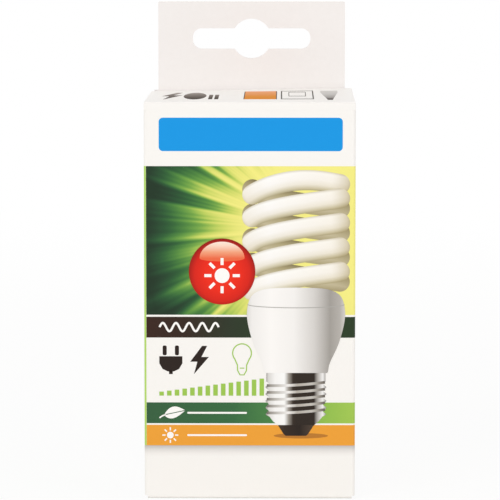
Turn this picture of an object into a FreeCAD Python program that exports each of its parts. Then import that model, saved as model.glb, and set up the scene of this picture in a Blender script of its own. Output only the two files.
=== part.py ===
import FreeCAD, Part
import math
import os
import Sketcher
from FreeCAD import Vector

# A hanging retail carton for a spiral energy saving bulb, with the bulb standing in it.
# The carton is one folded sheet of board: four walls, a glued seam at the back right corner,
# a glued bottom, two dust flaps and a hang tab that runs up from the back wall.
# Its lid is hinged on the crease along the front wall's top and tucks in before the tab.
# Millimetres, Z up, origin at the middle of the bottom. The printed front faces -Y.

SIZES = {
    # board and creases
    "board": 0.5,
    "fold_inside": 0.4,
    "crease_gap": 0.1,
    "crease_flat": 0.02,
    "fold_arm": 0.3,
    # room between the bulb and the carton
    "side_room": 1.5,
    "front_room": 1.5,
    "head_room": 7.3,
    # hang tab with its slot
    "tab_shoulder": 2.15,
    "tab_height": 27.3,
    "tab_corner": 0.4,
    "slot_length": 36.3,
    "slot_width": 6.3,
    "slot_corner": 2.8,
    "slot_circle": 12.2,
    "slot_drop": 11.4,
    # flaps inside the carton
    "glue_flap": 12.0,
    "dust_flap": 20.0,
    "dust_corner": 6.0,
    "dust_side_gap": 1.5,
    "dust_rest_gap": 0.05,
    "bottom_inner_flap": 46.0,
    "bottom_dust_flap": 19.0,
    "bottom_end_gap": 0.4,
    # lid
    "lid_side_gap": 0.1,
    "tuck_length": 10.0,
    "tuck_lean_angle": 5.5,
    "tuck_gap": 0.1,
    "tuck_side_gap": 1.2,
    "tuck_corner": 7.0,
    # contact, insulator and screw cap of the bulb
    "contact_diameter": 9.6,
    "contact_height": 1.0,
    "contact_round": 0.8,
    "insulator_height": 4.0,
    "insulator_foot": 10.4,
    "insulator_diameter": 15.8,
    "insulator_rim": 0.6,
    "cap_diameter": 26.2,
    "cap_height": 21.9,
    "cap_cone": 4.6,
    "cap_skirt": 3.6,
    "thread_pitch": 3.62,
    "thread_peak": 1.7,
    "thread_round": 1.0,
    # ballast housing and the holder that closes it
    "collar_diameter": 28.2,
    "collar_height": 1.3,
    "collar_ledge": 0.5,
    "housing_diameter": 47.8,
    "housing_height": 29.0,
    "parting_height": 0.4,
    "parting_depth": 0.3,
    "holder_height": 6.5,
    "holder_rim": 2.4,
    "holder_round": 5.0,
    "holder_flat": 39.0,
    "socket_depth": 3.0,
    "socket_gap": 0.1,
    # spiral tube
    "tube_diameter": 8.3,
    "spiral_diameter": 58.0,
    "strand_spacing": 9.9,
    "coil_turns": 1.61,
    "leg_radius": 15.0,
    "leg_angle": 35.0,
    "leg_rise": 8.0,
    "leg_upright": 8.0,
    "leg_sweep": 9.0,
}
THREAD_TURNS = 4
COIL_STATIONS = 5
SWEEP_SLACK = 0.001
ARC_SHARE = 0.99

doc = FreeCAD.newDocument("hanging_bulb_carton")
sheet = doc.addObject("Spreadsheet::Sheet", "Sizes")
for row, (name, number) in enumerate(SIZES.items(), start=1):
    sheet.set(f"A{row}", str(number))
    sheet.setAlias(f"A{row}", name)
doc.recompute()


class Size:
    """A length or angle: its number, and the text of the expression that the document keeps."""

    def __init__(self, number, text):
        self.number = number
        self.text = text

    def __add__(self, other):
        other = as_size(other)
        return Size(self.number + other.number, f"({self.text} + {other.text})")

    def __sub__(self, other):
        other = as_size(other)
        return Size(self.number - other.number, f"({self.text} - {other.text})")

    def __mul__(self, other):
        other = as_size(other)
        return Size(self.number * other.number, f"({self.text} * {other.text})")

    def __truediv__(self, other):
        other = as_size(other)
        return Size(self.number / other.number, f"({self.text} / {other.text})")

    def __neg__(self):
        return Size(-self.number, f"(0 - {self.text})")


def as_size(value):
    """A plain number as a size."""
    return value if isinstance(value, Size) else Size(float(value), f"({float(value)})")


def cell(name):
    """The size that the sheet keeps under this name."""
    return Size(float(sheet.get(name)), f"Sizes.{name}")


def sine(angle):
    return Size(math.sin(math.radians(angle.number)), f"sin({angle.text})")


def cosine(angle):
    return Size(math.cos(math.radians(angle.number)), f"cos({angle.text})")


def new_body(label):
    body = doc.addObject("PartDesign::Body", label)
    body.Label = label
    return body


def new_sketch(body, name, role, offset=None):
    """A sketch on one of the body's own planes, moved along the plane's normal by offset."""
    sketch = body.newObject("Sketcher::SketchObject", name)
    plane = next(feature for feature in body.Origin.OriginFeatures if feature.Role == role)
    sketch.AttachmentSupport = [(plane, "")]
    sketch.MapMode = "FlatFace"
    if offset is not None:
        sketch.setExpression("AttachmentOffset.Base.z", offset.text)
    return sketch


def fix_point(sketch, geometry, end, x, y):
    """Ties a point of the sketch to two sizes, measured from the sketch's origin."""
    for kind, size in (("DistanceX", x), ("DistanceY", y)):
        held = Sketcher.Constraint(kind, -1, 1, geometry, end, size.number)
        index = sketch.addConstraint(held)
        sketch.setExpression(f"Constraints[{index}]", size.text)


def round_off(before, corner, after, radius):
    """The arc that rounds a corner, its two ends in the order of travel, and whether it turns left."""
    back = (before - corner).normalize()
    ahead = (after - corner).normalize()
    half = back.getAngle(ahead) / 2
    centre = corner + (back + ahead).normalize() * (radius / math.sin(half))
    first = corner + back * (radius / math.tan(half))
    last = corner + ahead * (radius / math.tan(half))
    left = (corner - before).cross(after - corner).z > 0
    start, stop = (first, last) if left else (last, first)
    angles = [math.atan2(end.y - centre.y, end.x - centre.x) for end in (start, stop)]
    circle = Part.Circle(centre, Vector(0, 0, 1), radius)
    return Part.ArcOfCircle(circle, angles[0], angles[1]), first, last, left


def draw(sketch, corners):
    """Draws a closed outline. A corner is (x, y), or (x, y, radius) where it is rounded."""
    corners = [tuple(as_size(value) for value in corner) for corner in corners]
    places = [Vector(corner[0].number, corner[1].number, 0) for corner in corners]
    count = len(corners)
    arrive, leave, arcs = [], [], {}
    for i, corner in enumerate(corners):
        if len(corner) == 2:
            arrive.append(places[i])
            leave.append(places[i])
            continue
        neighbours = places[i - 1], places[i], places[(i + 1) % count]
        arc, first, last, left = round_off(*neighbours, corner[2].number)
        arrive.append(first)
        leave.append(last)
        arcs[i] = sketch.addGeometry(arc, False), left
    lines = []
    for i in range(count):
        line = Part.LineSegment(leave[i], arrive[(i + 1) % count])
        lines.append(sketch.addGeometry(line, False))
    for i, corner in enumerate(corners):
        before, after = lines[i - 1], lines[i]
        if i not in arcs:
            sketch.addConstraint(Sketcher.Constraint("Coincident", before, 2, after, 1))
            fix_point(sketch, after, 1, corner[0], corner[1])
            continue
        arc, left = arcs[i]
        first, last = (1, 2) if left else (2, 1)
        sketch.addConstraint(Sketcher.Constraint("Tangent", before, 2, arc, first))
        sketch.addConstraint(Sketcher.Constraint("Tangent", arc, last, after, 1))
        index = sketch.addConstraint(Sketcher.Constraint("Radius", arc, corner[2].number))
        sketch.setExpression(f"Constraints[{index}]", corner[2].text)
        tip = sketch.addGeometry(Part.Point(places[i]), True)
        fix_point(sketch, tip, 1, corner[0], corner[1])
        for line in (before, after):
            sketch.addConstraint(Sketcher.Constraint("PointOnObject", tip, 1, line))


def draw_circle(sketch, x, y, radius):
    x, y = as_size(x), as_size(y)
    centre = Vector(x.number, y.number, 0)
    circle = sketch.addGeometry(Part.Circle(centre, Vector(0, 0, 1), radius.number), False)
    fix_point(sketch, circle, 3, x, y)
    index = sketch.addConstraint(Sketcher.Constraint("Radius", circle, radius.number))
    sketch.setExpression(f"Constraints[{index}]", radius.text)


def pad(body, sketch, name, length, both_ways=False):
    """Adds material along the sketch's normal, or half of it to each side."""
    feature = body.newObject("PartDesign::Pad", name)
    feature.Profile = sketch
    feature.setExpression("Length", length.text)
    feature.SideType = "Symmetric" if both_ways else "One side"
    doc.recompute()
    return feature


def pocket(body, sketch, name, length, both_ways=False):
    """Takes material away behind the sketch, or to both sides of it, and makes sure that it did."""
    before = body.Shape.Volume
    feature = body.newObject("PartDesign::Pocket", name)
    feature.Profile = sketch
    feature.setExpression("Length", length.text)
    feature.SideType = "Symmetric" if both_ways else "One side"
    doc.recompute()
    if not body.Shape.Volume < before:
        raise RuntimeError(f"{name} cuts nothing")
    return feature


def revolve(body, sketch, name):
    """Turns a sketch of the XZ plane about the body's Z axis."""
    feature = body.newObject("PartDesign::Revolution", name)
    feature.Profile = sketch
    feature.ReferenceAxis = (sketch, ["V_Axis"])
    feature.Angle = 360
    doc.recompute()
    return feature


board = cell("board")
fold_inside = cell("fold_inside")
fold_outside = fold_inside + board
half_width = cell("spiral_diameter") / 2 + cell("side_room") + board
half_depth = cell("spiral_diameter") / 2 + cell("front_room") + board
bulb_foot = board * 2
contact_top = cell("contact_height")
cap_low = contact_top + cell("insulator_height")
cap_top = cap_low + cell("cap_height")
housing_top = cap_top + cell("housing_height")
holder_top = housing_top + cell("holder_height")
housing_radius = cell("housing_diameter") / 2
tube_radius = cell("tube_diameter") / 2
coil_pitch = cell("strand_spacing") * 2
coil_low = holder_top + cell("leg_rise")
coil_high = coil_low + coil_pitch * cell("coil_turns")
# The S across the top climbs an eighth of the pitch to its middle.
bulb_top = bulb_foot + coil_high + coil_pitch / 8 + tube_radius
height = bulb_top + cell("head_room")
wall_low = board * 2 + fold_outside
wall_high = height - board - fold_outside
front_top = height - board - cell("crease_gap")
dust_top = height - board - cell("dust_rest_gap")
tuck_back = half_depth - board - cell("tuck_gap")


def walls(body):
    """The four walls between their top and bottom folds, with the glue flap inside the right wall."""
    inner_x, inner_y = half_width - board, half_depth - board
    glued_to = half_depth - cell("glue_flap")
    raw_edge = half_depth - fold_outside - cell("fold_arm")
    sketch = new_sketch(body, "wall_section", "XY_Plane", wall_low)
    draw(
        sketch,
        [
            (half_width, raw_edge),
            (inner_x, raw_edge),
            (inner_x, half_depth, fold_outside),
            (-half_width, half_depth, fold_outside),
            (-half_width, -half_depth, fold_outside),
            (half_width, -half_depth, fold_outside),
        ],
    )
    draw(
        sketch,
        [
            (inner_x, glued_to),
            (inner_x - board, glued_to),
            (inner_x - board, inner_y, fold_inside),
            (-inner_x, inner_y, fold_inside),
            (-inner_x, -inner_y, fold_inside),
            (inner_x, -inner_y, fold_inside),
        ],
    )
    pad(body, sketch, "walls", wall_high - wall_low)


def corner_columns(body):
    """The upright folds of three corners, carried up and down to where the flaps are cut free."""
    reach = fold_outside + cell("fold_arm")
    rows = (
        ("front_columns", fold_outside, front_top, -1, (-1, 1)),
        ("back_column", board + fold_outside, front_top, 1, (-1,)),
    )
    for name, low, high, back, sides in rows:
        sketch = new_sketch(body, f"{name}_section", "XY_Plane", low)
        for side in sides:
            outer_x, outer_y = half_width * side, half_depth * back
            draw(
                sketch,
                [
                    (outer_x, outer_y - reach * back),
                    (outer_x, outer_y, fold_outside),
                    (outer_x - reach * side, outer_y),
                    (outer_x - reach * side, outer_y - board * back),
                    (outer_x - board * side, outer_y - board * back, fold_inside),
                    (outer_x - board * side, outer_y - reach * back),
                ],
            )
        pad(body, sketch, name, high - low)


def front_and_outer_flap(body):
    """The front wall, folded under to the flap that covers the whole bottom."""
    end = half_depth - cell("bottom_end_gap")
    sketch = new_sketch(body, "front_profile", "YZ_Plane")
    draw(
        sketch,
        [
            (-half_depth, front_top),
            (-half_depth, 0, fold_outside),
            (end, 0),
            (end, board),
            (board - half_depth, board, fold_inside),
            (board - half_depth, front_top),
        ],
    )
    pad(body, sketch, "front_and_outer_flap", (half_width - fold_outside) * 2, both_ways=True)


def back_and_inner_flap(body):
    """The back wall, folded in above the outer flap, and its shoulders level with the lid."""
    end = half_depth - cell("bottom_inner_flap")
    sketch = new_sketch(body, "back_profile", "YZ_Plane")
    draw(
        sketch,
        [
            (half_depth, height),
            (half_depth - board, height),
            (half_depth - board, board * 2, fold_inside),
            (end, board * 2),
            (end, board),
            (half_depth, board, fold_outside),
        ],
    )
    pad(body, sketch, "back_and_inner_flap", (half_width - fold_outside) * 2, both_ways=True)


def side_flaps(body):
    """The side walls with their dust flaps, folded in under the lid and over the bottom flaps."""
    depth = (half_depth - cell("dust_side_gap")) * 2
    sketch = new_sketch(body, "side_profile", "XZ_Plane")
    for side in (-1, 1):
        outer, inner = half_width * side, (half_width - board) * side
        top_end = (half_width - cell("dust_flap")) * side
        bottom_end = (half_width - cell("bottom_dust_flap")) * side
        draw(
            sketch,
            [
                (outer, board * 2, fold_outside),
                (outer, dust_top, fold_outside),
                (top_end, dust_top),
                (top_end, dust_top - board),
                (inner, dust_top - board, fold_inside),
                (inner, board * 3, fold_inside),
                (bottom_end, board * 3),
                (bottom_end, board * 2),
            ],
        )
    pad(body, sketch, "side_flaps", depth, both_ways=True)


def dust_flap_corners(body):
    """Cuts the free corners of the four dust flaps on the slant."""
    edge = half_depth - cell("dust_side_gap") + cell("fold_arm")
    cut = cell("dust_corner") + cell("fold_arm")
    for name, top, length in (
        ("top_flap_corners", dust_top, cell("dust_flap")),
        ("bottom_flap_corners", board * 3, cell("bottom_dust_flap")),
    ):
        sketch = new_sketch(body, f"{name}_plan", "XY_Plane", top)
        end = half_width - length - cell("fold_arm")
        for side in (-1, 1):
            for back in (-1, 1):
                draw(
                    sketch,
                    [
                        (end * side, edge * back),
                        ((end + cut) * side, edge * back),
                        (end * side, (edge - cut) * back),
                    ],
                )
        pocket(body, sketch, name, board)


def hang_tab(body):
    """The tab above the back wall, with the slot and circle that a hook or peg goes through."""
    top = height + cell("tab_height")
    half_tab = half_width - cell("tab_shoulder")
    corner = cell("tab_corner")
    root = height - cell("slot_width")
    sketch = new_sketch(body, "tab_outline", "XZ_Plane", -half_depth)
    draw(
        sketch,
        [
            (-half_tab, root),
            (half_tab, root),
            (half_tab, top, corner),
            (-half_tab, top, corner),
        ],
    )
    pad(body, sketch, "hang_tab", board)
    middle = top - cell("slot_drop")
    half_slot, half_high = cell("slot_length") / 2, cell("slot_width") / 2
    slot = new_sketch(body, "slot_outline", "XZ_Plane", -half_depth)
    draw(
        slot,
        [
            (half_slot * x, middle + half_high * y, cell("slot_corner"))
            for x, y in ((-1, -1), (1, -1), (1, 1), (-1, 1))
        ],
    )
    pocket(body, slot, "hang_slot", board * 3, both_ways=True)
    circle = new_sketch(body, "slot_circle_outline", "XZ_Plane", -half_depth)
    draw_circle(circle, 0, middle, cell("slot_circle") / 2)
    pocket(body, circle, "hang_slot_circle", board * 3, both_ways=True)


def make_carton():
    body = new_body("carton")
    walls(body)
    corner_columns(body)
    front_and_outer_flap(body)
    back_and_inner_flap(body)
    side_flaps(body)
    dust_flap_corners(body)
    hang_tab(body)
    return body


def make_lid_flap():
    """The lid, rounded along its crease, with the tongue that tucks in before the hang tab."""
    body = new_body("lid_flap")
    lean, length = cell("tuck_lean_angle"), cell("tuck_length")
    axis = board / 2 - half_depth
    tip_y, tip_z = tuck_back - length * sine(lean), height - length * cosine(lean)
    inside = tuck_back - board * (sine(lean) + 1) / cosine(lean)
    nose = (board - cell("crease_flat")) / 2

    panel = new_sketch(body, "panel_profile", "YZ_Plane")
    draw(
        panel,
        [
            (axis - board / 2, height - board, nose),
            (tuck_back - fold_outside * 2, height - board),
            (tuck_back - fold_outside * 2, height),
            (axis - board / 2, height, nose),
        ],
    )
    pad(body, panel, "lid_panel", (half_width - cell("lid_side_gap")) * 2, both_ways=True)

    tongue = new_sketch(body, "tongue_profile", "YZ_Plane")
    draw(
        tongue,
        [
            (0, height - board),
            (inside, height - board, fold_inside),
            (tip_y - board * cosine(lean), tip_z + board * sine(lean)),
            (tip_y, tip_z),
            (tuck_back, height, fold_outside),
            (0, height),
        ],
    )
    half_tongue = half_width - board - cell("tuck_side_gap")
    pad(body, tongue, "tuck_tongue", half_tongue * 2, both_ways=True)

    round_tongue_corners(body, half_tongue)
    return body


def round_tongue_corners(body, half_tongue):
    """Rounds the two free corners of the tongue, as the cutting rule leaves them."""
    radius, arm = cell("tuck_corner"), cell("fold_arm")
    low = height - cell("tuck_length") * cosine(cell("tuck_lean_angle"))
    sketch = new_sketch(body, "tongue_corners", "XZ_Plane", -tuck_back)
    for side in (-1, 1):
        outer = half_tongue * side
        inner = outer - (radius + arm) * side
        beyond = outer + arm * side
        draw(
            sketch,
            [
                (beyond, low + radius + arm),
                (outer, low + radius + arm),
                (outer, low, radius),
                (inner, low),
                (inner, low - arm),
                (beyond, low - arm),
            ],
        )
    pocket(body, sketch, "tongue_rounding", cell("tuck_length"), both_ways=True)


def upright_arc(low, high):
    """The corner and radius of an arc from just past low that runs into a vertical at high."""
    across, rise = high[0] - low[0], high[1] - low[1]
    reach = (across * across + rise * rise) / (rise * 2)
    radius = (across * across + rise * rise) / (across * 2)
    return high[0], high[1] - reach, radius * ARC_SHARE


def make_centre_contact():
    body = new_body("centre_contact")
    radius = cell("contact_diameter") / 2
    sketch = new_sketch(body, "contact_profile", "XZ_Plane")
    draw(
        sketch,
        [
            (0, 0),
            (radius, 0, cell("contact_round")),
            (radius, contact_top),
            (0, contact_top),
        ],
    )
    revolve(body, sketch, "contact_turned")
    return body


def make_cap_insulator():
    """The dark glass cone between the contact and the screw cap."""
    body = new_body("cap_insulator")
    radius = cell("insulator_diameter") / 2
    sketch = new_sketch(body, "insulator_profile", "XZ_Plane")
    draw(
        sketch,
        [
            (0, contact_top),
            (cell("insulator_foot") / 2, contact_top, cell("insulator_rim")),
            (radius, cap_low - cell("insulator_rim")),
            (radius, cap_low),
            (0, cap_low),
        ],
    )
    revolve(body, sketch, "insulator_turned")
    return body


def make_screw_shell():
    """The screw cap: a cone, the rounded thread as turned ridges, and a plain skirt."""
    body = new_body("screw_shell")
    pitch, peak, rounding = cell("thread_pitch"), cell("thread_peak"), cell("thread_round")
    crest = cell("cap_diameter") / 2
    middle = crest - peak
    outline = [
        (0, cap_low),
        (cell("insulator_diameter") / 2 + cell("insulator_rim") / 2, cap_low),
    ]
    low = cap_low + cell("cap_cone")
    for turn in range(THREAD_TURNS):
        outline.append((middle + peak, low + pitch * turn, rounding))
        outline.append((middle - peak, low + pitch * (turn + 0.5), rounding))
    outline += [
        (crest, cap_top - cell("cap_skirt")),
        (crest, cap_top),
        (0, cap_top),
    ]
    sketch = new_sketch(body, "shell_profile", "XZ_Plane")
    draw(sketch, outline)
    revolve(body, sketch, "shell_turned")
    return body


def make_ballast_housing():
    """The white moulded housing: a collar over the cap and a bell that ends upright."""
    body = new_body("ballast_housing")
    collar = cell("collar_diameter") / 2
    neck = collar - cell("collar_ledge"), cap_top + cell("collar_height")
    rim = housing_radius, housing_top - cell("parting_height")
    groove = housing_radius - cell("parting_depth")
    sketch = new_sketch(body, "housing_profile", "XZ_Plane")
    draw(
        sketch,
        [
            (0, cap_top),
            (collar, cap_top),
            (collar, cap_top + cell("collar_height")),
            neck,
            upright_arc(neck, rim),
            rim,
            (groove, housing_top - cell("parting_height")),
            (groove, housing_top),
            (0, housing_top),
        ],
    )
    revolve(body, sketch, "housing_turned")
    return body


def leg_place(side):
    """Where a leg of the tube enters the holder. The second leg is half a turn round."""
    radius, turn = cell("leg_radius") * side, cell("leg_angle")
    return radius * cosine(turn), -radius * sine(turn)


def make_tube_holder():
    """The domed holder that closes the housing, with a blind socket for each leg."""
    body = new_body("tube_holder")
    sketch = new_sketch(body, "holder_profile", "XZ_Plane")
    draw(
        sketch,
        [
            (0, housing_top),
            (housing_radius, housing_top),
            (housing_radius, housing_top + cell("holder_rim")),
            (cell("holder_flat") / 2, holder_top, cell("holder_round")),
            (0, holder_top),
        ],
    )
    revolve(body, sketch, "holder_turned")
    sockets = new_sketch(body, "socket_outlines", "XY_Plane", holder_top)
    for side in (1, -1):
        draw_circle(sockets, *leg_place(side), tube_radius + cell("socket_gap"))
    pocket(body, sockets, "leg_sockets", cell("socket_depth"))
    return body


def arc_from(start, ahead, end):
    """The arc that leaves start in the direction ahead and reaches end."""
    chord = end - start
    aside = (ahead - chord * (ahead.dot(chord) / chord.dot(chord))).normalize()
    rise = chord.Length / 2 * math.tan(ahead.getAngle(chord) / 2)
    return Part.Arc(start, (start + end) * 0.5 + aside * rise, end)


def two_arcs(first, second):
    """Two arcs in line with each other that join two places, each given with its direction."""
    (start, ahead), (end, onward) = first, second
    chord, turned = end - start, 2 * (1 - ahead.dot(onward))
    along = chord.dot(ahead + onward)
    reach = (math.sqrt(along * along + turned * chord.dot(chord)) - along) / turned
    middle = (start + end + (ahead - onward) * reach) * 0.5
    back = arc_from(end, -onward, middle)
    halfway = back.value((back.FirstParameter + back.LastParameter) / 2)
    return [arc_from(start, ahead, middle).toShape(), Part.Arc(middle, halfway, end).toShape()]


def coil_stations():
    """Places along half of the tube, each with its direction: a leg, its coil, its half of the S."""
    radius = (cell("spiral_diameter").number - cell("tube_diameter").number) / 2
    pitch = coil_pitch.number
    slope = pitch / (2 * math.pi * radius)
    end = 2 * math.pi * cell("coil_turns").number
    x, y = leg_place(1)
    mouth = Vector(x.number, y.number, holder_top.number)
    foot = Vector(radius, 0, coil_low.number)
    uphill = Vector(0, 1, slope).normalize()
    leg = Part.BezierCurve()
    over_mouth = mouth + Vector(0, 0, cell("leg_upright").number)
    leg.setPoles([mouth, over_mouth, foot - uphill * cell("leg_sweep").number, foot])
    stations = [(leg.value(share), leg.tangent(share)[0]) for share in (0, 0.5)]
    for step in range(COIL_STATIONS + 1):
        turn = end * step / COIL_STATIONS
        place = Vector(radius * math.cos(turn), radius * math.sin(turn), coil_low.number)
        place.z += pitch * turn / (2 * math.pi)
        stations.append((place, Vector(-math.sin(turn), math.cos(turn), slope).normalize()))
    for bent in (math.pi / 2, math.pi):
        x = radius / 2 * (math.cos(end) + math.cos(end + bent))
        y = radius / 2 * (math.sin(end) + math.sin(end + bent))
        rise = slope * radius / 2 * (bent - bent * bent / (2 * math.pi))
        level = slope * (1 - bent / math.pi)
        ahead = Vector(-math.sin(end + bent), math.cos(end + bent), level).normalize()
        stations.append((Vector(x, y, coil_high.number + rise), ahead))
    return stations


def make_discharge_tube():
    """The glass tube: two coils wound into each other, joined across the top by an S."""
    rising = coil_stations()
    falling = [
        (Vector(-place.x, -place.y, place.z), Vector(ahead.x, ahead.y, -ahead.z))
        for place, ahead in reversed(rising[:-1])
    ]
    stations = rising + falling
    sunk = Vector(0, 0, -cell("socket_depth").number)
    first, last = stations[0][0], stations[-1][0]
    edges = [Part.makeLine(first + sunk, first)]
    for before, after in zip(stations, stations[1:]):
        edges += two_arcs(before, after)
    edges.append(Part.makeLine(last, last + sunk))
    path = Part.Wire(edges)
    section = Part.Wire(Part.makeCircle(tube_radius.number, first + sunk, Vector(0, 0, 1)))
    tube = doc.addObject("Part::Feature", "discharge_tube")
    tube.Label = "discharge_tube"
    tube.Shape = path.makePipeShell([section], True, False)
    expected = path.Length * math.pi * tube_radius.number**2
    if abs(tube.Shape.Volume / expected - 1) > SWEEP_SLACK:
        raise RuntimeError("the tube's volume is not its section times its length")
    return tube


def stand_in_carton(pieces):
    """Sets the bulb down on the carton's inner bottom flap, cap downwards."""
    for piece in pieces:
        piece.setExpression("Placement.Base.z", bulb_foot.text)


make_carton()
make_lid_flap()
stand_in_carton(
    [
        make_centre_contact(),
        make_cap_insulator(),
        make_screw_shell(),
        make_ballast_housing(),
        make_tube_holder(),
        make_discharge_tube(),
    ]
)

doc.recompute()
for thing in doc.Objects:
    if "Invalid" in thing.State or "Error" in thing.State:
        raise RuntimeError(f"{thing.Name} failed: {thing.State}")

os.makedirs("parts", exist_ok=True)
for piece in doc.Objects:
    if piece.TypeId not in ("PartDesign::Body", "Part::Feature"):
        continue
    if piece.Shape.isNull() or not piece.Shape.isValid():
        raise RuntimeError(f"{piece.Label} is not a valid solid")
    piece.Shape.exportStep(f"parts/{piece.Label}.step")
    box = piece.Shape.BoundBox
    print(f"{piece.Label}: {len(piece.Shape.Solids)} solid, {piece.Shape.Volume:.0f} mm3,", box)
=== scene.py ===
import math

import bmesh
import bpy
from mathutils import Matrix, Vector
from mathutils.geometry import tessellate_polygon


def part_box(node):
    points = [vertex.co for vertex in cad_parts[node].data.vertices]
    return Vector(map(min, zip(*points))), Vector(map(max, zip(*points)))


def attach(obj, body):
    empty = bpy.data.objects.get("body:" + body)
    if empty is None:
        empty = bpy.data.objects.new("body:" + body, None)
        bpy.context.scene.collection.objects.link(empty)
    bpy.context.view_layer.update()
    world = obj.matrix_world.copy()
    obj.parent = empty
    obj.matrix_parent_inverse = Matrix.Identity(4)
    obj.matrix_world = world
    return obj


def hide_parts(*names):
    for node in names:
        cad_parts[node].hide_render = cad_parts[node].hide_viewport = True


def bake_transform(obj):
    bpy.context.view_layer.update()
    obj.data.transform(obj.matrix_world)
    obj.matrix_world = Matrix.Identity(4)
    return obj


# Hanging bulb carton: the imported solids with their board, glass, plastic and metal finishes,
# and every printed field as a thin film of ink on the carton's outside.

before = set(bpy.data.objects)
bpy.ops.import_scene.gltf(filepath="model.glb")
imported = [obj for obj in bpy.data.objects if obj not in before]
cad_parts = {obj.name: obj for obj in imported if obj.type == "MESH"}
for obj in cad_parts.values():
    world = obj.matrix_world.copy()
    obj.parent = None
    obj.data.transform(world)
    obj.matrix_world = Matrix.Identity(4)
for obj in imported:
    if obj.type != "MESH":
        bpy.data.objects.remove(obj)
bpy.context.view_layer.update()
scene = bpy.context.scene
mm = 0.001
print("frame loaded:", sorted(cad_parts))

cameraSetup = {
    "place": (9.5, -1029.4, 179.5),  # mm
    "lookDown": 6.04,  # degrees
    "turnLeft": 0.54,
    "lens": 246.6,
}


def addCamera(setup):
    data = bpy.data.cameras.new("photoCamera")
    data.lens = setup["lens"]
    data.sensor_width = 36
    data.clip_start = 0.05
    data.clip_end = 20
    camera = bpy.data.objects.new("photoCamera", data)
    camera.location = Vector(setup["place"]) * mm
    camera.rotation_euler = (math.radians(90 - setup["lookDown"]), 0, math.radians(setup["turnLeft"]))
    scene.collection.objects.link(camera)
    scene.camera = camera


addCamera(cameraSetup)
scene.view_settings.view_transform = "Standard"


def linear(code):
    # an sRGB hex colour as linear RGBA
    parts = [int(code[i : i + 2], 16) / 255 for i in (1, 3, 5)]
    return tuple(c / 12.92 if c <= 0.04045 else ((c + 0.055) / 1.055) ** 2.4 for c in parts) + (1,)


def newMaterial(name):
    material = bpy.data.materials.new(name)
    material.use_nodes = True
    tree = material.node_tree
    tree.nodes.clear()
    output = tree.nodes.new("ShaderNodeOutputMaterial")
    shader = tree.nodes.new("ShaderNodeBsdfPrincipled")
    tree.links.new(shader.outputs[0], output.inputs["Surface"])
    return material, tree, shader


def addNode(tree, kind, inputs=None, **settings):
    # inputs: socket name or index -> a value, or a socket to link from
    node = tree.nodes.new(kind)
    for key, value in settings.items():
        setattr(node, key, value)
    for key, value in (inputs or {}).items():
        socket = node.inputs[key]
        if isinstance(value, bpy.types.NodeSocket):
            tree.links.new(value, socket)
        else:
            socket.default_value = value
    return node


def maths(tree, operation, *values, clamp=False):
    node = addNode(tree, "ShaderNodeMath", dict(enumerate(values)), operation=operation, use_clamp=clamp)
    return node.outputs[0]


def ramp(tree, factor, stops, interpolation="LINEAR"):
    node = addNode(tree, "ShaderNodeValToRGB", {0: factor})
    node.color_ramp.interpolation = interpolation
    elements = node.color_ramp.elements
    while len(elements) < len(stops):
        elements.new(0.5)
    for element, (position, colour) in zip(elements, stops):
        element.position = position
        element.color = linear(colour)
    return node.outputs[0]


def mix(tree, factor, low, high, blend="MIX"):
    node = addNode(
        tree,
        "ShaderNodeMix",
        {0: factor, 6: low, 7: high},
        data_type="RGBA",
        blend_type=blend,
    )
    return node.outputs[2]


def place(tree, attribute=None):
    # Object coordinates, or a stored place, in millimetres, split up
    if attribute:
        coords = addNode(tree, "ShaderNodeAttribute", attribute_name=attribute).outputs["Vector"]
    else:
        coords = addNode(tree, "ShaderNodeTexCoord").outputs["Object"]
    scaled = addNode(tree, "ShaderNodeVectorMath", {0: coords, 1: (1000, 1000, 1000)}, operation="MULTIPLY")
    split = addNode(tree, "ShaderNodeSeparateXYZ", {0: scaled.outputs[0]})
    return scaled.outputs[0], split.outputs[0], split.outputs[1], split.outputs[2]


def boardBump(tree, point, shader, fibre, wave):
    # paper fibre about 0.3 mm long, drawn at 0.7 mm so that it shows, over a panel's slow waviness
    fine = addNode(tree, "ShaderNodeTexNoise", {"Vector": point, "Scale": 1.4, "Detail": 4, "Roughness": 0.6})
    slow = addNode(tree, "ShaderNodeTexNoise", {"Vector": point, "Scale": 0.035, "Detail": 1})
    first = addNode(
        tree, "ShaderNodeBump", {"Strength": 1.0, "Distance": wave * mm, "Height": slow.outputs[0]}
    )
    second = addNode(
        tree,
        "ShaderNodeBump",
        {"Strength": 1.0, "Distance": fibre * mm, "Height": fine.outputs[0], "Normal": first.outputs[0]},
    )
    tree.links.new(second.outputs[0], shader.inputs["Normal"])
    return fine.outputs[0]


boardLook = {
    "coat": "#f9f6f2",
    "coatFibre": "#e8e2da",
    "inside": "#f6f2f0",
    "insideFibre": "#e4deda",
    "edge": "#c4b8ab",
    "edgeFibre": "#a6998c",
    "coatRoughness": 0.42,
    "sheen": 0.3,
    "insideRoughness": 0.8,
    "thickness": 0.5,  # mm
    "foldRadius": 0.9,
    "halfWidth": 31.0,
    "lidTop": 117.203,
    "tongueBack": 30.4,
    "tongueLean": 0.0963,  # tangent of the tongue's slant
}


def above(tree, value, limit):
    return maths(tree, "MAXIMUM", maths(tree, "SUBTRACT", value, limit), 0.0)


def rounded(tree, radius, *parts):
    # distance from a rounded skin: 0 on it, negative inside
    total = maths(tree, "MULTIPLY", parts[0], parts[0])
    for part in parts[1:]:
        total = maths(tree, "MULTIPLY_ADD", part, part, total)
    return maths(tree, "SUBTRACT", maths(tree, "SQRT", total), radius)


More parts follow.
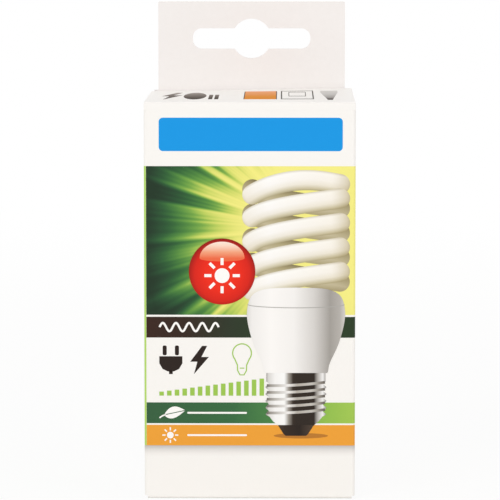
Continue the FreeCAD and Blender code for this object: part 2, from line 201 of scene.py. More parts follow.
def cartonDepth(tree, look, x, y, z):
    # how deep a point lies under the carton's outer skin, folds included
    fold = look["foldRadius"]
    flat = look["halfWidth"] - fold
    fromSide, fromFront = maths(tree, "ABSOLUTE", x), maths(tree, "ABSOLUTE", y)
    onSide = maths(tree, "GREATER_THAN", fromSide, flat)
    onBack = maths(tree, "GREATER_THAN", y, flat)
    footFold = maths(tree, "MULTIPLY_ADD", onBack, look["thickness"], fold)
    footFold = maths(tree, "MULTIPLY_ADD", onSide, 2 * look["thickness"], footFold)
    under = maths(tree, "MAXIMUM", maths(tree, "SUBTRACT", footFold, z), 0.0)
    over = above(tree, z, look["lidTop"] - look["thickness"] - fold - 0.05)
    over = maths(tree, "MULTIPLY", over, maths(tree, "LESS_THAN", fromFront, flat - 0.5))
    return rounded(tree, fold, above(tree, fromSide, flat), above(tree, fromFront, flat), under, over)


def lidDepth(tree, look, x, y, z):
    fold = look["foldRadius"]
    upright = maths(tree, "SUBTRACT", look["lidTop"], z)
    upright = maths(tree, "MULTIPLY_ADD", upright, look["tongueLean"], y)
    back = above(tree, upright, look["tongueBack"] - fold)
    depth = rounded(tree, fold, back, above(tree, z, look["lidTop"] - fold))
    nose = maths(tree, "LESS_THAN", y, 0.25 - look["halfWidth"])
    return maths(tree, "MULTIPLY", depth, maths(tree, "SUBTRACT", 1.0, nose))


def makeBoardMaterial(name, look, depthOf=None, attribute=None):
    # folding boxboard, clay coated and varnished outside: smooth and faintly glossy there,
    # dull and fibrous inside, with the grey core showing at cut edges
    material, tree, shader = newMaterial(name)
    point, x, y, z = place(tree, attribute)
    grain = boardBump(tree, point, shader, 0.012, 0.9)
    faint = maths(tree, "MULTIPLY", grain, 0.08)
    coatTone = mix(tree, faint, linear(look["coat"]), linear(look["coatFibre"]))
    shader.inputs["IOR"].default_value = 1.5
    shader.inputs["Specular IOR Level"].default_value = look["sheen"]
    if depthOf is None:
        tree.links.new(coatTone, shader.inputs["Base Color"])
        shader.inputs["Roughness"].default_value = look["coatRoughness"]
        return material
    depth = depthOf(tree, look, x, y, z)
    outside = maths(tree, "GREATER_THAN", depth, -0.12)
    core = maths(tree, "COMPARE", depth, -look["thickness"] / 2, look["thickness"] / 2 - 0.08)
    flecks = {"Vector": point, "Scale": 0.9, "Detail": 5, "Roughness": 0.7}
    fleck = addNode(tree, "ShaderNodeTexNoise", flecks)
    flecked = maths(tree, "MULTIPLY", fleck.outputs[0], 0.3)
    insideTone = mix(tree, flecked, linear(look["inside"]), linear(look["insideFibre"]))
    faces = mix(tree, outside, insideTone, coatTone)
    edgeTone = mix(tree, grain, linear(look["edge"]), linear(look["edgeFibre"]))
    tree.links.new(mix(tree, core, faces, edgeTone), shader.inputs["Base Color"])
    gloss = look["coatRoughness"] - look["insideRoughness"]
    gloss = maths(tree, "MULTIPLY_ADD", outside, gloss, look["insideRoughness"])
    tree.links.new(gloss, shader.inputs["Roughness"])
    return material


def makeInk(name, colour, roughness=0.45, sheen=0.22):
    # offset printing ink under a thin dispersion varnish: even colour, a low soft sheen
    material, tree, shader = newMaterial(name)
    point, x, y, z = place(tree)
    boardBump(tree, point, shader, 0.006, 0.9)
    if callable(colour):
        tree.links.new(colour(tree, x, y, z), shader.inputs["Base Color"])
    else:
        shader.inputs["Base Color"].default_value = linear(colour)
    shader.inputs["Roughness"].default_value = roughness
    shader.inputs["IOR"].default_value = 1.5
    shader.inputs["Specular IOR Level"].default_value = sheen
    return material


def setMaterial(node, material):
    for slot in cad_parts[node].material_slots:
        slot.material = material


setMaterial("carton", makeBoardMaterial("cartonBoxboard", boardLook, cartonDepth))
print("board done")

# A film is a closed slab a few hundredths of a millimetre thick, laid on the board's skin.
# Places on the carton are (s, z): s runs round it from the front's left edge, 62 mm a side.
filmSetup = {
    "side": 62.0,  # mm
    "fold": 0.9,
    "thickness": 0.03,
    "layer": 0.012,
    "mapUnit": 100.0,  # mm that one unit of a sheet map stands for
}
halfSide = filmSetup["side"] / 2


def cartonSkin(s, z, lift):
    side, fold = filmSetup["side"], filmSetup["fold"]
    turn = math.floor(s / side)
    t = s - turn * side
    corners = ((-1, -1), (1, -1), (1, 1), (-1, 1))
    runs = ((1, 0), (0, 1), (-1, 0), (0, -1))
    if t > side - fold:
        turn, angle = turn + 1, 45 * (t - side + fold) / fold
    elif t < fold:
        angle = 45 + 45 * t / fold
    else:
        angle = None
    start = Vector(corners[turn % 4]) * side / 2
    run = Vector(runs[turn % 4])
    out = Vector((run.y, -run.x))
    if angle is None:
        spot = start + run * t + out * lift
    else:
        before = Vector(runs[(turn - 1) % 4])
        before = Vector((before.y, -before.x))
        angle = math.radians(angle)
        centre = start + run * fold - out * fold
        spot = centre + (before * math.cos(angle) + out * math.sin(angle)) * (fold + lift)
    return Vector((spot.x, spot.y, z)) * mm


lidSetup = {
    "top": 117.203,  # mm
    "raisedCorner": 0.75,
    "sunkCorner": 0.3,
    "step": 2.2,
    "cuts": 14,  # each way from the middle
}


def lidWarp(x, y):
    # the lid's back right corner stands a little proud of its tuck, the left one is pressed in
    across = (x / mm + halfSide) / filmSetup["side"]
    along = max((y / mm + halfSide) / filmSetup["side"], 0)
    rise = lidSetup["raisedCorner"] * across**1.5 - lidSetup["sunkCorner"] * (1 - across) ** 2
    return rise * along**1.6 * mm


def lidSkin(u, w, lift):
    x, y = (u - halfSide) * mm, (w - halfSide) * mm
    return Vector((x, y, (lidSetup["top"] + lift) * mm + lidWarp(x, y)))


def layFilm(name, points, faces, level, material, shade=None, cuts=(), skin=cartonSkin, body="carton"):
    # turns a flat mesh of (s, z) points into a film on the skin, level layers up; cuts are the
    # lines at which it can bend, shade is a second place for each point, for tones across it
    flat = bmesh.new()
    spots = [flat.verts.new((s, z, 0)) for s, z in points]
    shadeLayer = flat.loops.layers.uv.new("shade")
    for face in faces:
        corners = flat.faces.new([spots[i] for i in face]).loops
        for loop, i in zip(corners, face):
            loop[shadeLayer].uv = shade[i] if shade else (0, 0)
    for normal, stop in cuts:
        everything = flat.verts[:] + flat.edges[:] + flat.faces[:]
        spot = Vector(normal) * stop
        bmesh.ops.bisect_plane(flat, geom=everything, plane_co=spot, plane_no=normal, dist=1e-5)
    flat.verts.index_update()
    places = [tuple(vert.co.xy) for vert in flat.verts]
    count = len(places)
    high = filmSetup["layer"] * level
    low = high - filmSetup["thickness"]
    rings, shades = [], []
    for face in flat.faces:
        ring = [loop.vert.index for loop in face.loops]
        tones = [tuple(loop[shadeLayer].uv) for loop in face.loops]
        rings += [ring, [i + count for i in reversed(ring)]]
        shades += tones + tones[::-1]
    for edge in flat.edges:
        if edge.is_boundary:
            loop = edge.link_loops[0]
            after = loop.link_loop_next
            a, b = loop.vert.index, after.vert.index
            first, second = tuple(loop[shadeLayer].uv), tuple(after[shadeLayer].uv)
            rings.append([b, a, a + count, b + count])
            shades += [second, first, first, second]
    flat.free()
    mesh = bpy.data.meshes.new(name)
    mesh.from_pydata([skin(*p, high) for p in places] + [skin(*p, low) for p in places], [], rings)
    sheetMap = mesh.uv_layers.new(name="sheet")
    shadeMap = mesh.uv_layers.new(name="shade")
    for loop, tone in zip(mesh.loops, shades):
        sheetMap.data[loop.index].uv = Vector(places[loop.vertex_index % count]) / filmSetup["mapUnit"]
        shadeMap.data[loop.index].uv = tone
    mesh.materials.append(material)
    film = bpy.data.objects.new(name, mesh)
    scene.collection.objects.link(film)
    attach(film, body)


def stations(start, end):
    # stops along the carton, close together round each upright fold
    side, fold = filmSetup["side"], filmSetup["fold"]
    stops = {start, end}
    for corner in range(-2, 5):
        for step in range(-6, 7):
            stop = corner * side + fold * step / 6
            if start < stop < end:
                stops.add(stop)
    return sorted(stops)


def layBand(name, start, end, low, high, level, material):
    stops = stations(start, end)
    count = len(stops)
    points = [(s, z) for z in (low, high) for s in stops]
    faces = [[i, i + 1, i + 1 + count, i + count] for i in range(count - 1)]
    layFilm(name, points, faces, level, material)


def layShapes(name, shapes, level, material, **rest):
    # each shape is a list of closed outlines: the first is filled, the others are holes in it
    points, faces = [], []
    for outlines in shapes:
        vectors = [[Vector((s, z, 0)) for s, z in outline] for outline in outlines]
        first = len(points)
        points += [spot for outline in outlines for spot in outline]
        for triangle in tessellate_polygon(vectors):
            a, b, c = (Vector(points[first + i]) for i in triangle)
            turned = (b - a).cross(c - a) < 0
            triangle = triangle[::-1] if turned else triangle
            faces.append([first + i for i in triangle])
    layFilm(name, points, faces, level, material, **rest)


def circle(s, z, radius, count=48, squash=1.0):
    turns = [math.tau * i / count for i in range(count)]
    return [(s + radius * math.cos(t), z + radius * squash * math.sin(t)) for t in turns]


def block(left, low, right, high, radius, count=8):
    # a rectangle with round corners
    outline = []
    for cx, cz, start in (
        (right - radius, high - radius, 0),
        (left + radius, high - radius, 90),
        (left + radius, low + radius, 180),
        (right - radius, low + radius, 270),
    ):
        for i in range(count + 1):
            angle = math.radians(start + 90 * i / count)
            outline.append((cx + radius * math.cos(angle), cz + radius * math.sin(angle)))
    return outline


def ribbon(path, width, closed=False):
    # the outline of a line of that width along a path, as one outline or as a ring
    points = [Vector(p) for p in path]
    count = len(points)
    left, right = [], []
    for i, p in enumerate(points):
        before = points[i - 1] if i or closed else p
        after = points[(i + 1) % count] if i < count - 1 or closed else p
        ahead = (after - before).normalized()
        aside = Vector((-ahead.y, ahead.x)) * width / 2
        left.append(tuple(p + aside))
        right.append(tuple(p - aside))
    if closed:
        return [left, right]
    return [right + left[::-1]]


def newNodeTree(name, inputs):
    # a Geometry Nodes tree with named inputs and one geometry output
    tree = bpy.data.node_groups.new(name, "GeometryNodeTree")
    for label, kind in inputs.items():
        tree.interface.new_socket(label, in_out="INPUT", socket_type=kind)
    tree.interface.new_socket("Geometry", in_out="OUTPUT", socket_type="NodeSocketGeometry")
    source = tree.nodes.new("NodeGroupInput")
    return tree, source.outputs


def endTree(tree, geometry, material):
    whole = addNode(tree, "GeometryNodeRealizeInstances", {"Geometry": geometry})
    coated = addNode(tree, "GeometryNodeSetMaterial", {"Geometry": whole.outputs[0], "Material": material})
    addNode(tree, "NodeGroupOutput", {0: coated.outputs[0]})


def growPiece(name, tree, values, body="carton"):
    # sets the tree's inputs, works it out once and keeps the result as a plain mesh
    host = bpy.data.objects.new(name, bpy.data.meshes.new(name))
    scene.collection.objects.link(host)
    modifier = host.modifiers.new(name, "NODES")
    modifier.node_group = tree
    for item in tree.interface.items_tree:
        if item.in_out == "INPUT":
            modifier[item.identifier] = values[item.name]
    graph = bpy.context.evaluated_depsgraph_get()
    mesh = bpy.data.meshes.new_from_object(host.evaluated_get(graph))
    host.modifiers.remove(modifier)
    host.data = mesh
    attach(host, body)
    return host


# The picture on the front: a field that runs on round the right side, and bands below it.
fieldLook = {
    "low": 54.7,  # mm
    "high": 98.5,
    "start": 0.56,
    "glow": (48.0, 80.0),  # the middle of the light, behind the pictured bulb
    "core": 15.0,
    "reach": 33.0,
    "tones": (
        (0.0, "#172c1a"),
        (0.14, "#21432a"),
        (0.3, "#2f6a36"),
        (0.5, "#6da845"),
        (0.64, "#bfd25c"),
        (0.8, "#e8e478"),
        (1.0, "#f8f088"),
    ),
    "rays": 9.0,  # noise steps per radian
    "firstRay": 31.3,
    "rayShare": 0.62,
}


def sheetPlace(tree):
    # the film's own (s, z) in millimetres
    coords = addNode(tree, "ShaderNodeUVMap", uv_map="sheet")
    split = addNode(tree, "ShaderNodeSeparateXYZ", {0: coords.outputs[0]})
    return tuple(maths(tree, "MULTIPLY", split.outputs[i], filmSetup["mapUnit"]) for i in (0, 1))


def fieldTone(tree, x, y, z):
    # dark green to lime and yellow, in soft rays round the pictured bulb
    look = fieldLook
    s, up = sheetPlace(tree)
    across = maths(tree, "MINIMUM", maths(tree, "SUBTRACT", s, look["glow"][0]), 0.0)
    rise = maths(tree, "SUBTRACT", up, look["glow"][1])
    square = maths(tree, "MULTIPLY", maths(tree, "MULTIPLY", rise, rise), 0.55)
    far = maths(tree, "SQRT", maths(tree, "MULTIPLY_ADD", across, across, square))
    share = maths(tree, "DIVIDE", maths(tree, "SUBTRACT", far, look["core"]), look["reach"], clamp=True)
    angle = maths(tree, "ARCTAN2", rise, maths(tree, "SUBTRACT", 0.01, across))
    turn = maths(tree, "MULTIPLY_ADD", angle, look["rays"], look["firstRay"])
    rays = addNode(
        tree,
        "ShaderNodeTexNoise",
        {"W": turn, "Scale": 1.0, "Detail": 2, "Roughness": 0.6},
        noise_dimensions="1D",
    )
    push = maths(tree, "MULTIPLY", maths(tree, "SUBTRACT", rays.outputs[0], 0.46), 2 * look["rayShare"])
    fade = maths(tree, "MULTIPLY", share, 2.2, clamp=True)
    fade = maths(tree, "MULTIPLY", fade, maths(tree, "SUBTRACT", 1.3, share))
    light = maths(tree, "MULTIPLY_ADD", push, fade, maths(tree, "SUBTRACT", 1.0, share), clamp=True)
    return ramp(tree, light, look["tones"], "B_SPLINE")


def alongTone(start, end, stops):
    # a run of tones along the carton, from start to end
    def tone(tree, x, y, z):
        s, up = sheetPlace(tree)
        share = maths(tree, "DIVIDE", maths(tree, "SUBTRACT", s, start), end - start, clamp=True)
        return ramp(tree, share, stops)

    return tone


def upTone(low, high, stops):
    # a run of tones from low to high
    def tone(tree, x, y, z):
        s, up = sheetPlace(tree)
        share = maths(tree, "DIVIDE", maths(tree, "SUBTRACT", up, low), high - low, clamp=True)
        return ramp(tree, share, stops)

    return tone


bands = {
    "dark": (47.95, 54.1),  # mm
    "green": (22.5, 28.7),
    "orange": (15.9, 22.0),
    "shadow": (12.5, 15.9),
    "start": 0.56,
    "end": 123.4,
    "leftEnd": -61.4,
    "sideEnd": 0.51,  # where the left side's lime stops, just round the front's edge
    "darkTones": ((0, "#351c11"), (0.35, "#301f14"), (0.75, "#283221"), (1, "#25381f")),
    "greenTones": ((0, "#335c3b"), (0.42, "#34683d"), (0.62, "#4a8345"), (0.85, "#90bd4d"), (1, "#a3c852")),
    "shadowTones": ((0, "#f9f6f2"), (0.3, "#f3efeb"), (0.62, "#e3dfdb"), (0.85, "#cfcbc7"), (1, "#bfbbb7")),
}

fieldInk = makeInk("fieldInk", fieldTone)
darkInk = makeInk("darkBandInk", alongTone(0, 34, bands["darkTones"]))
greenInk = makeInk("greenBandInk", alongTone(0, 62, bands["greenTones"]))
orangeInk = makeInk("orangeInk", "#eea135")
limeInk = makeInk("limeInk", "#b4d969")
blueInk = makeInk("blueInk", "#0897e4")
brownInk = makeInk("brownInk", "#251811")
whiteInk = makeInk("whiteInk", "#fdfaf7")
limeLineInk = makeInk("limeLineInk", "#9dc651")
shadowInk = makeInk("shadowInk", upTone(*bands["shadow"], bands["shadowTones"]))

layBand("fieldFilm", fieldLook["start"], bands["end"], fieldLook["low"], fieldLook["high"], 1, fieldInk)
layBand("darkBandFilm", bands["start"], bands["end"], *bands["dark"], 1, darkInk)
layBand("greenBandFilm", bands["start"], bands["end"], *bands["green"], 1, greenInk)
layBand("orangeBandFilm", bands["start"], bands["end"], *bands["orange"], 1, orangeInk)
layBand("bandShadowFilm", bands["leftEnd"], bands["end"], *bands["shadow"], 1, shadowInk)
sideLow, sideHigh = bands["orange"][0], fieldLook["high"]
layBand("limeSideFilm", bands["leftEnd"], bands["sideEnd"], sideLow, sideHigh, 1, limeInk)
layShapes("blueBarFilm", [[block(4.4, 102.9, 58.2, 112.7, 1.2)]], 1, blueInk)
print("print fields done")

# The pictured bulb: a plain spiral bulb seen from a little below.
pictureBulb = {
    "axis": 44.6,  # mm from the front's left edge
    "radius": 16.6,
    "tube": 5.9,
    "spacing": 7.2,
    "strands": 4,
    "low": 60.6,
    "bow": 1.4,
    "turned": 20.0,  # degrees of each half turn that the next strand hides
    "housingTop": 61.9,
    "parting": 57.4,
    "housingHalf": 14.3,
    "housingFoot": 37.5,
    "capHalf": 8.7,
    "capSkirt": 2.4,
    "capFoot": 21.9,
    "threads": 5,
    "threadTop": 3.25,  # from the housing's foot down to the first drawn thread
    "threadPitch": 2.03,
    "insulatorFoot": 18.8,
}


def strandPath(number, back=False, bridge=False, count=32):
    # half a turn of the coil: the front half rises to the right, the back half to the left
    look = pictureBulb
    radius = look["radius"] - look["tube"] / 2
    start = math.radians(look["turned"])
    path = []
    for i in range(count + 1):
        angle = start + (math.pi - 2 * start) * i / count
        across = -radius * math.cos(angle)
        lift = look["spacing"] * (number + angle / math.pi)
        bow = look["bow"] * math.sin(angle)
        if back:
            across, lift, bow = -across, lift + look["spacing"] * 0.5, -bow
        if bridge:
            lift = look["spacing"] * (number + 0.55 * angle / math.pi)
            bow = 2.9 * math.sin(angle) ** 2
        path.append((look["axis"] + across, look["low"] + lift + bow))
    return path


def layTube(name, path, level, material):
    # a tube with round ends; its shade map holds how far along and across each point lies
    width, rows, cap = pictureBulb["tube"], 9, 10
    spots = [Vector(p) for p in path]
    start = (spots[0] - spots[1]).normalized()
    end = (spots[-1] - spots[-2]).normalized()
    bends = [math.pi / 2 * i / cap for i in range(1, cap + 1)]
    spine = [(spots[0] + start * width / 2 * math.sin(t), -start, math.cos(t)) for t in reversed(bends)]
    for i, p in enumerate(spots):
        ahead = (spots[min(i + 1, len(spots) - 1)] - spots[max(i - 1, 0)]).normalized()
        spine.append((p, ahead, 1.0))
    spine += [(spots[-1] + end * width / 2 * math.sin(t), end, math.cos(t)) for t in bends]
    points, shade, faces = [], [], []
    for i, (p, ahead, share) in enumerate(spine):
        aside = Vector((-ahead.y, ahead.x)) * width / 2 * max(share, 0.02)
        for j in range(rows):
            offset = 2 * j / (rows - 1) - 1
            points.append(tuple(p + aside * offset))
            shade.append((i / (len(spine) - 1), 0.5 + 0.5 * offset * max(share, 0.02)))
    for i in range(len(spine) - 1):
        for j in range(rows - 1):
            a = i * rows + j
            faces.append([a, a + rows, a + rows + 1, a + 1])
    layFilm(name, points, faces, level, material, shade=shade)


def shadedTone(acrossStops, alongStops):
    # tones across a tube times tones along it, by its shade map
    def tone(tree, x, y, z):
        coords = addNode(tree, "ShaderNodeUVMap", uv_map="shade")
        split = addNode(tree, "ShaderNodeSeparateXYZ", {0: coords.outputs[0]})
        across = ramp(tree, split.outputs[1], acrossStops)
        along = ramp(tree, split.outputs[0], alongStops)
        return mix(tree, 1.0, across, along, "MULTIPLY")

    return tone


strandTones = {
    "across": (
        (0, "#b0a582"),
        (0.1, "#cfc6a8"),
        (0.3, "#f0ebdf"),
        (0.55, "#fbf8f4"),
        (0.88, "#fefcf9"),
        (1, "#dcd6c6"),
    ),
    "along": (
        (0, "#dcd5c2"),
        (0.1, "#f4f0e6"),
        (0.35, "#ffffff"),
        (0.72, "#fbf8f1"),
        (0.9, "#ddd5bf"),
        (1, "#c3b996"),
    ),
    "backAcross": ((0, "#8f8563"), (0.3, "#bcb28f"), (0.7, "#d8d0b6"), (1, "#b8ad8b")),
    "backAlong": ((0, "#d8d2c0"), (0.5, "#f2eee2"), (1, "#cfc8b4")),
}
strandInk = makeInk("pictureTubeInk", shadedTone(strandTones["across"], strandTones["along"]))
backStrandInk = makeInk("pictureBackTubeInk", shadedTone(strandTones["backAcross"], strandTones["backAlong"]))


def drawCoil():
    count = pictureBulb["strands"]
    for number in range(count):
        layTube(f"pictureBackStrand{number + 1}", strandPath(number, back=True), 2, backStrandInk)
    for number in range(count):
        layTube(f"pictureStrand{number + 1}", strandPath(number), 3 + number, strandInk)
    layTube("pictureBridge", strandPath(count, bridge=True), 3, strandInk)


def capEdge():
    # the screw cap's outline down its right edge: skirt, rounded threads and cone
    look = pictureBulb
    foot, half, steps = look["capFoot"], look["capHalf"], 8
    top = look["housingFoot"]
    start = top - look["capSkirt"]
    edge = [(half, top), (half, start)]
    pitch = (start - foot - 3.0) / look["threads"]
    for i in range(look["threads"] * steps):
        turn = i / steps
        edge.append((half - 0.25 + 0.5 * math.cos(math.tau * turn + 0.6), start - pitch * turn))
    edge += [(half - 0.9, foot + 2.6), (half - 2.0, foot + 1.2), (half - 3.0, foot + 0.4), (half - 3.3, foot)]
    return edge


def mirrored(edge):
    axis = pictureBulb["axis"]
    return [(axis + x, z) for x, z in edge] + [(axis - x, z) for x, z in reversed(edge)]


def smoothEdge(knots, steps=8):
    # a smooth outline through a few (half width, height) knots
    edge = []
    for i in range(len(knots) - 1):
        a, b = Vector(knots[max(i - 1, 0)]), Vector(knots[i])
        c, d = Vector(knots[i + 1]), Vector(knots[min(i + 2, len(knots) - 1)])
        for step in range(steps):
            t = step / steps
            point = 2 * b + (c - a) * t + (2 * a - 5 * b + 4 * c - d) * t**2 + (3 * b - a - 3 * c + d) * t**3
            edge.append(tuple(point / 2))
    return edge + [knots[-1]]


def acrossBulb(half, stops):
    axis = pictureBulb["axis"]
    return alongTone(axis - half, axis + half, stops)


bulbTones = {
    "housing": (
        (0, "#d9d6d2"),
        (0.06, "#f0edea"),
        (0.25, "#fbf8f5"),
        (0.48, "#f4f1ee"),
        (0.68, "#d6d2ce"),
        (0.84, "#a29d97"),
        (0.94, "#b5b0aa"),
        (1, "#d9d5d0"),
    ),
    "cap": (
        (0, "#7d7771"),
        (0.05, "#d9d6d2"),
        (0.16, "#f6f4f2"),
        (0.31, "#fbfaf8"),
        (0.38, "#9a938a"),
        (0.45, "#33281f"),
        (0.5, "#2a2018"),
        (0.8, "#2a2018"),
        (0.86, "#b3aea8"),
        (0.94, "#f1efed"),
        (1, "#7f7973"),
    ),
    "thread": (
        (0, "#4c453d"),
        (0.08, "#99938b"),
        (0.25, "#d3cfca"),
        (0.38, "#f1eeeb"),
        (0.52, "#b3aca3"),
        (0.75, "#c6c1ba"),
        (0.9, "#8d867d"),
        (1, "#4f4840"),
    ),
    "insulator": ((0, "#4a3b2f"), (0.2, "#30231a"), (0.6, "#241912"), (1, "#4f4034")),
}
housingInk = makeInk("pictureHousingInk", acrossBulb(pictureBulb["housingHalf"] + 0.4, bulbTones["housing"]))
capInk = makeInk("pictureCapInk", acrossBulb(pictureBulb["capHalf"] + 0.3, bulbTones["cap"]))
threadInk = makeInk("pictureThreadInk", acrossBulb(pictureBulb["capHalf"] + 0.3, bulbTones["thread"]))
insulatorInk = makeInk("pictureInsulatorInk", acrossBulb(5.6, bulbTones["insulator"]))
partingInk = makeInk("picturePartingInk", "#aeaba6")
footShadeInk = makeInk("pictureFootShadeInk", "#b9782c")


def drawPictureBulb():
    look = pictureBulb
    axis, half, top, foot = look["axis"], look["housingHalf"], look["housingTop"], look["housingFoot"]
    drawCoil()
    dome = [(0, top + 0.9), (half * 0.6, top + 0.5), (half * 0.9, top - 1.4), (half, look["parting"] - 0.8)]
    neck = look["capHalf"] + 0.4
    bell = [(half - 0.1, 52.5), (half - 1.7, 46.4), (half - 4.3, 40.6)]
    bell += [(neck + 0.3, foot + 0.5), (neck, foot)]
    layShapes("pictureHousing", [[mirrored(smoothEdge(dome + bell))]], 7, housingInk)
    turns = [math.pi * (i / 24 - 0.5) for i in range(25)]
    line = [(axis + (half - 0.1) * math.sin(t), look["parting"] - 1.0 * math.cos(t) + 0.4) for t in turns]
    layShapes("pictureParting", [ribbon(line, 0.24)], 8, partingInk)
    layShapes("pictureCap", [[mirrored(capEdge())]], 5, capInk)
    threads, reach = [], look["capHalf"] - 0.15
    for i in range(look["threads"]):
        z = foot - look["threadTop"] - look["threadPitch"] * i
        shares = [k / 12 - 1 for k in range(25)]
        path = [(axis + reach * t, z + 0.5 * t - 0.35 * (1 - t * t)) for t in shares]
        threads.append(ribbon(path, 0.8))
    layShapes("pictureThreads", threads, 6, threadInk)
    low, tip = look["capFoot"], look["insulatorFoot"]
    stub = [(5.3, low + 0.1), (3.6, tip + 0.5), (3.0, tip)]
    layShapes("pictureInsulator", [[mirrored(stub)]], 6, insulatorInk)
    layShapes("pictureFootShade", [[circle(axis + 1.5, tip, 8.0, squash=0.1)]], 3, footShadeInk)


drawPictureBulb()
print("printed bulb done")

# Printed signs: a glossy disc with a sun, a plug and a bolt, a bulb, a gauge, a leaf.
discLook = {
    "s": 22.9,  # mm
    "z": 67.5,
    "radius": 9.75,
    "sunDrop": 1.2,
    "sun": 5.2,
    "tones": ((0, "#f5361a"), (0.5, "#ec2811"), (0.78, "#d81f0e"), (0.92, "#ad1509"), (1, "#850b05")),
    "shine": ((0, "#ee6a43"), (0.35, "#f3a27c"), (0.75, "#fbdcc8"), (1, "#fdeee2")),
}


def discTone(tree, x, y, z):
    # tones from a little under the disc's middle out
    s, up = sheetPlace(tree)
    across = maths(tree, "SUBTRACT", s, discLook["s"])
    rise = maths(tree, "SUBTRACT", up, discLook["z"] - 0.6)
    square = maths(tree, "MULTIPLY_ADD", across, across, maths(tree, "MULTIPLY", rise, rise))
    far = maths(tree, "SQRT", square)
    return ramp(tree, maths(tree, "DIVIDE", far, discLook["radius"] + 0.6), discLook["tones"])


def shineShape():
    # the lens-shaped highlight in the disc's upper half
    s, z = discLook["s"], discLook["z"] + 3.9
    half, rise, sag = 6.6, 4.9, 0.9
    over = [math.pi * i / 30 for i in range(31)]
    under = [math.pi * i / 16 for i in range(1, 16)]
    top = [(s + half * math.cos(t), z + rise * math.sin(t)) for t in over]
    return top + [(s - half * math.cos(t), z - sag * math.sin(t)) for t in under]


def makeRayTree():
    # rays round a middle, each a small block pointing outwards, upright as the front is
    inputs = {
        "Count": "NodeSocketInt",
        "Middle": "NodeSocketVector",
        "Radius": "NodeSocketFloat",
        "Block": "NodeSocketVector",
        "Ink": "NodeSocketMaterial",
    }
    tree, given = newNodeTree("rayRing", inputs)
    ring = addNode(tree, "GeometryNodeMeshCircle", {"Vertices": given["Count"], "Radius": given["Radius"]})
    cube = addNode(tree, "GeometryNodeMeshCube", {"Size": given["Block"]})
    spot = addNode(tree, "GeometryNodeInputPosition")
    turn = addNode(tree, "FunctionNodeAlignRotationToVector", {"Vector": spot.outputs[0]}, axis="X")
    rays = addNode(
        tree,
        "GeometryNodeInstanceOnPoints",
        {"Points": ring.outputs[0], "Instance": cube.outputs[0], "Rotation": turn.outputs[0]},
    )
    upright = addNode(
        tree,
        "GeometryNodeTransform",
        {"Geometry": rays.outputs[0], "Translation": given["Middle"], "Rotation": (math.pi / 2, 0, 0)},
    )
    endTree(tree, upright.outputs[0], given["Ink"])
    return tree


def makeGaugeTree():
    # a row of blocks that grow from the first to the last
    inputs = {
        "Count": "NodeSocketInt",
        "First": "NodeSocketVector",
        "Step": "NodeSocketFloat",
        "Width": "NodeSocketFloat",
        "Depth": "NodeSocketFloat",
        "Low": "NodeSocketFloat",
        "High": "NodeSocketFloat",
        "Ink": "NodeSocketMaterial",
    }
    tree, given = newNodeTree("gaugeRow", inputs)
    step = addNode(tree, "ShaderNodeCombineXYZ", {"X": given["Step"]})
    row = addNode(
        tree,
        "GeometryNodeMeshLine",
        {"Count": given["Count"], "Start Location": given["First"], "Offset": step.outputs[0]},
    )
    index = addNode(tree, "GeometryNodeInputIndex")
    share = maths(tree, "DIVIDE", index.outputs[0], maths(tree, "SUBTRACT", given["Count"], 1.0))
    growth = maths(tree, "SUBTRACT", given["High"], given["Low"])
    height = maths(tree, "MULTIPLY_ADD", share, growth, given["Low"])
    lift = addNode(tree, "ShaderNodeCombineXYZ", {"Z": maths(tree, "MULTIPLY", height, 0.5)})
    raised = addNode(tree, "GeometryNodeSetPosition", {"Geometry": row.outputs[0], "Offset": lift.outputs[0]})
    size = addNode(tree, "ShaderNodeCombineXYZ", {"X": given["Width"], "Y": given["Depth"], "Z": height})
    cube = addNode(tree, "GeometryNodeMeshCube", {"Size": (1, 1, 1)})
    bars = addNode(
        tree,
        "GeometryNodeInstanceOnPoints",
        {"Points": raised.outputs[0], "Instance": cube.outputs[0], "Scale": size.outputs[0]},
    )
    endTree(tree, bars.outputs[0], given["Ink"])
    return tree


def onFront(s, z, level):
    # the middle of a block that lies on the front like a film
    depth = filmSetup["layer"] * level - filmSetup["thickness"] / 2
    return tuple(Vector((s - halfSide, -halfSide - depth, z)) * mm)


def drawSun(name, s, z, size, level):
    layShapes(f"{name}Middle", [[circle(s, z, size * 0.42, 32)]], level, whiteInk)
    values = {
        "Count": 8,
        "Middle": onFront(s, z, level),
        "Radius": size * 0.8 * mm,
        "Block": (size * 0.4 * mm, size * 0.17 * mm, filmSetup["thickness"] * mm),
        "Ink": whiteInk,
    }
    growPiece(f"{name}Rays", rayTree, values)


def plugShapes(s, z):
    # an upright plug: body, two pins and the start of its cord
    edge = ((3.4, 5.0), (3.4, 2.9), (2.4, 1.2), (0.9, 0.5))
    body = [(s - half, z + up) for half, up in edge] + [(s + half, z + up) for half, up in edge[::-1]]
    pins = [block(s + k - 0.6, z + 5.3, s + k + 0.6, z + 8.2, 0.45) for k in (-1.8, 1.8)]
    cord = ribbon([(s, z + 0.7), (s, z - 0.3)], 1.1)
    return [[body], [pins[0]], [pins[1]], cord]


def boltShape(s, z):
    outline = [(0.8, 8.2), (-2.7, 3.5), (-0.6, 3.5), (-1.6, -0.2), (2.8, 4.9), (0.6, 4.9), (2.3, 8.2)]
    return [[(s + a, z + b) for a, b in outline]]


def bulbSignShapes(s=28.75):
    # the outline of a pear-shaped bulb
    turns = [math.radians(-38 + 256 * i / 40) for i in range(41)]
    globe = [(s + 2.75 * math.cos(t), 43.35 + 2.75 * math.sin(t)) for t in turns]
    edge = ((1.35, 39.8), (1.3, 38.2), (0.6, 36.9))
    neck = [(s - half, z) for half, z in edge] + [(s + half, z) for half, z in edge[::-1]]
    return [ribbon(globe + neck, 0.36, closed=True), ribbon([(s - 0.7, 38.9), (s + 0.7, 38.9)], 0.3)]


